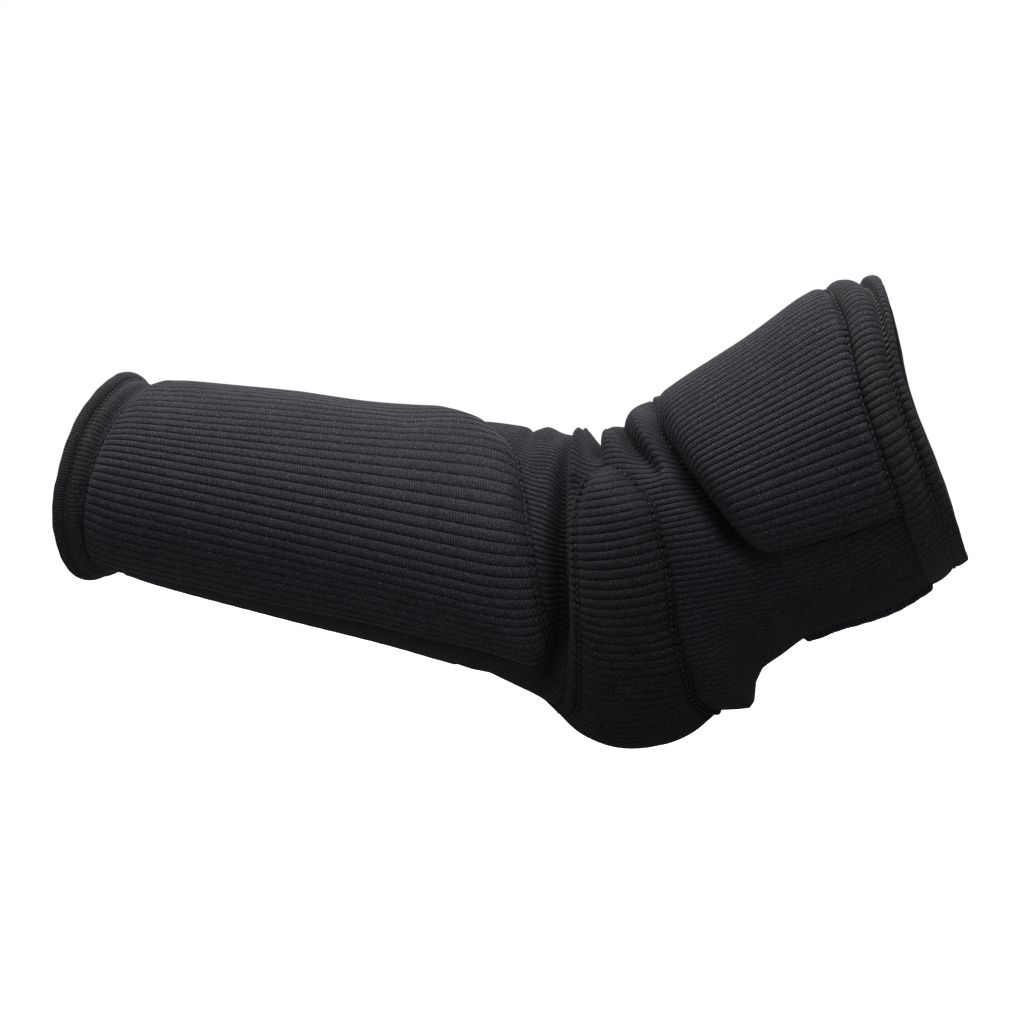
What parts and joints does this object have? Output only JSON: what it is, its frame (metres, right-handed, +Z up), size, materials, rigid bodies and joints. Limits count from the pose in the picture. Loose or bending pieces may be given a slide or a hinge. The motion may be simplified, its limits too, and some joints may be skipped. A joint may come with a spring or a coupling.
{
  "type": "padded elbow sleeve",
  "caption": "Black rib-knit sleeve for the arm with foam pads sewn over the forearm, the elbow point and the upper arm, shown bent at the elbow.",
  "frame": {"origin": "the centre of the whole sleeve's box", "axes": "+Z up with the elbow point hanging down; the forearm runs towards -X and the upper arm towards +X and up; +Y is along the bend axis, towards the side away from the forearm pad"},
  "size_m": [0.3696, 0.1046, 0.1814],
  "materials": {
    "sleeve_knit": "matt black rib knit, fine ribs along the arm",
    "stretch_knit": "charcoal stretch rib knit, fine close ribs",
    "cover_knit": "matt black wide rib knit over foam",
    "cuff_knit": "folded rib knit hem, slightly puckered",
    "pad_foam": "soft closed-cell foam, hidden under its cover",
    "elastic": "woven elastic strip, hidden in the hem",
    "thread": "dark polyester sewing thread"
  },
  "bodies": {
    "upper_arm": {"upper_sleeve": "sleeve_knit", "upper_arm_pad_foam": "pad_foam", "upper_arm_pad_cover": "cover_knit", "upper_arm_pad_stitching": "thread", "upper_seam": "thread", "upper_hem": "cuff_knit", "upper_elastic": "elastic", "upper_hem_stitching": "thread"},
    "elbow": {"elbow_stretch_knit": "stretch_knit", "elbow_pad_foam": "pad_foam", "elbow_pad_cover": "cover_knit", "elbow_pad_stitching": "thread"},
    "forearm": {"forearm_sleeve": "sleeve_knit", "forearm_pad_foam": "pad_foam", "forearm_pad_cover": "cover_knit", "forearm_pad_stitching": "thread", "forearm_seam": "thread", "wrist_hem": "cuff_knit", "wrist_elastic": "elastic", "wrist_binding": "cuff_knit", "wrist_hem_stitching": "thread"}
  },
  "joints": [
    {"name": "elbow_bend", "type": "hinge", "parent": "upper_arm", "child": "elbow", "pos_m": [0.05069, 0.00093, -0.02491], "axis": [0, 1, 0], "range_deg": [-18, 27], "deforming": ["elbow_stretch_knit"]},
    {"name": "forearm_bend", "type": "hinge", "parent": "elbow", "child": "forearm", "pos_m": [0.05069, 0.00093, -0.02491], "axis": [0, 1, 0], "range_deg": [-18, 27], "deforming": ["elbow_stretch_knit"]}
  ],
  "couplings": [
    {"joint": "forearm_bend", "follows": "elbow_bend", "ratio": 1}
  ]
}
